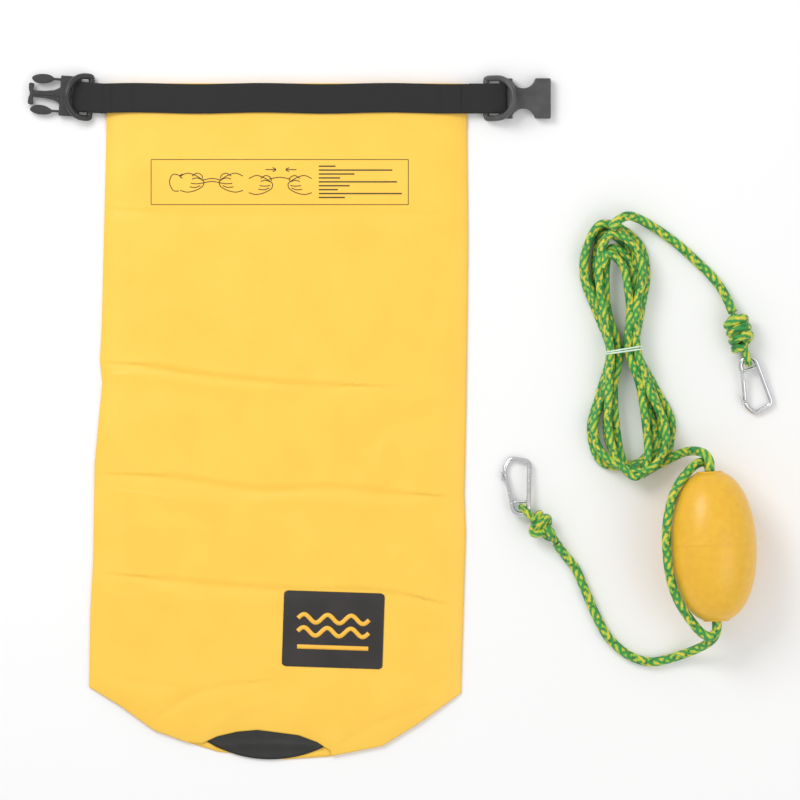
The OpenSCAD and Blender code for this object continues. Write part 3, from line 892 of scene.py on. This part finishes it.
def spin(p, axis, deg):
    """Points turned about x or z."""
    a = math.radians(deg)
    c, sn = math.cos(a), math.sin(a)
    if axis == "z":
        return np.c_[p[:, 0] * c - p[:, 1] * sn, p[:, 0] * sn + p[:, 1] * c, p[:, 2]]
    return np.c_[p[:, 0], p[:, 1] * c - p[:, 2] * sn, p[:, 1] * sn + p[:, 2] * c]


def wire_path():
    """Gate hinge, round the eye, up the spine, over the top and down to the nose."""
    path = [(-EYE_R, 2.6 - 1.3 * k) for k in range(3)]
    path += [(EYE_R * math.cos(b), EYE_R * math.sin(b)) for b in np.linspace(math.pi, 2 * math.pi, 17)][1:]
    # the heading is measured from +X, so the spine leans 4 degrees outward
    pos, head = np.array([float(EYE_R), 0.0]), math.radians(90 - 4)
    for run, bend, turn_l in ((33, 5, 82), (9, 5, 70), (4, 4, 22), (3.5, 4, 0)):
        steps = max(2, int(run / 2))
        for k in range(1, steps + 1):
            path.append(tuple(pos + np.array([math.cos(head), math.sin(head)]) * run * k / steps))
        pos = np.array(path[-1])
        centre = pos + bend * np.array([-math.sin(head), math.cos(head)])
        for k in range(1, 9 if turn_l else 1):
            h = head + math.radians(turn_l) * k / 8
            path.append(tuple(centre + bend * np.array([math.sin(h), -math.cos(h)])))
        pos, head = np.array(path[-1]), head + math.radians(turn_l)
    return spline([(q[0], q[1], 0) for q in path], 0.6)


def clip(name, at, lead, turn, tilt, flip, body_name, gate_name):
    """Snap clip with its eye at `at`, turned, tilted up about the eye and mirrored where flip is set."""
    def to_scene(pts):
        p = np.asarray(pts, float).copy()
        if flip:
            p[:, 0] *= -1
        p = spin(p, "z", turn - lead)
        p[:, 1] += EYE_R
        return spin(spin(p, "x", -tilt), "z", lead) + np.asarray(at)

    def rod(label, pts, r, sides, radius=None):
        return tube(name + label, to_scene(pts), r, "steel", sides, radius=radius)

    wire = rod("_wire", wire_path(), CLIP_WIRE, 24)
    parts = [wire]

    def block(label, outline, z0, z1, bevel):
        q = np.asarray(outline, float)
        if flip:
            q = q[::-1]
        v, f = prism(q, z0, z1)
        return mesh(name + label, to_scene(v), f, "steel", bevel=bevel)

    nose = [(-15.1, 22), (-13.8, 22), (-13.6, 28.5), (-12.4, 30.5), (-15.0, 30.5)]
    tongue = [(-8.9, 2), (-5.7, 2), (-5.6, 7)] + arc_pts(*PIN_AT, 2.1, 0, 180, 9) + [(-9.2, 6)]
    parts.append(block("_nose", nose, -1.8, 1.8, 0.45))
    parts.append(block("_tongue", tongue, -0.8, 0.8, 0.2))
    parts.append(rod("_bar", [(-6.2 + 12.9 * k / 8, 3.3, 0) for k in range(9)], 1.2, 16))
    pin = rod("_pin", [(*PIN_AT, -2.25 + 4.5 * k / 6) for k in range(7)], CLIP_PIN, 16)

    def on_gate(u, v):
        """A point across (u) and along (v) the gate, measured from its pin."""
        return (PIN_AT[0] + u * math.cos(GATE_LEAN) - v * math.sin(GATE_LEAN),
                PIN_AT[1] + u * math.sin(GATE_LEAN) + v * math.cos(GATE_LEAN))

    gate = rod("_gate", [(*on_gate(0, t), 0) for t in np.linspace(3.2, 21.5, 30)], CLIP_GATE, 24,
               radius=lambda A, R: np.where(R > R.max() - 0.6, 0.88, 1.0) * np.ones_like(A))

    def cheek(z0, z1, label):
        o = arc_pts(0, 0, 2.0, 180, 360, 9) + [(1.85, 4.5), (-1.85, 4.5)]
        return block(label, [on_gate(u, v) for u, v in o], z0, z1, 0.25)

    gates = [gate, cheek(1.0, 2.05, "_cheek_1"), cheek(-2.05, -1.0, "_cheek_2")]
    for o in parts + [pin]:
        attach(o, body_name)
    for o in gates:
        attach(o, gate_name)
    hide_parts(name + "_body")
    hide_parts(name + "_pin")
    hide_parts(name + "_gate")


clip("upper_clip", U_EYE, U_TURN, 197, 8.1, True, "clip_u", "gate_u")
clip("lower_clip", L_EYE, L_TURN, 3, 9.5, False, "clip_l", "gate_l")

# ---------------------------------------------------------------- floor, light and camera
bpy.ops.mesh.primitive_plane_add(size=12, location=(0, 0, -0.0004))
floor = bpy.context.object
floor.name = "floor"
fm = bpy.data.materials.new("floor_white")
fm.use_nodes = True
white = fm.node_tree.nodes["Principled BSDF"]
socket(white, "Base Color", (0.93, 0.93, 0.93, 1))
socket(white, "Roughness", 0.9)
floor.data.materials.append(fm)

world = bpy.context.scene.world or bpy.data.worlds.new("World")
bpy.context.scene.world = world
world.use_nodes = True
bg = world.node_tree.nodes["Background"]
bg.inputs[0].default_value = (1, 1, 1, 1)
bg.inputs[1].default_value = 0.7


def area(name, loc, size, power):
    """Square area light aimed at the origin."""
    light = bpy.data.lights.new(name, "AREA")
    light.shape = "RECTANGLE"
    light.size = light.size_y = size
    light.energy = power
    o = bpy.data.objects.new(name, light)
    o.location = loc
    o.rotation_euler = (-Vector(loc)).to_track_quat("-Z", "Y").to_euler()
    bpy.context.scene.collection.objects.link(o)


area("key", (-0.9, 1.0, 1.5), 0.9, 16)
area("fill", (1.3, -0.5, 1.6), 1.4, 7)
bpy.context.scene.view_settings.view_transform = "Standard"

# straight down from far off, so that the photo's near-parallel view is kept
CAM_HEIGHT, VIEW_WIDTH, SENSOR = 5.0, 0.676, 36
cam = bpy.data.cameras.new("camera")
cam.sensor_width = SENSOR
cam.lens = SENSOR * CAM_HEIGHT / VIEW_WIDTH
cam_o = bpy.data.objects.new("camera", cam)
cam_o.location = (-0.0005, 0.0141, CAM_HEIGHT)
bpy.context.scene.collection.objects.link(cam_o)
bpy.context.scene.camera = cam_o

bpy.context.view_layer.update()
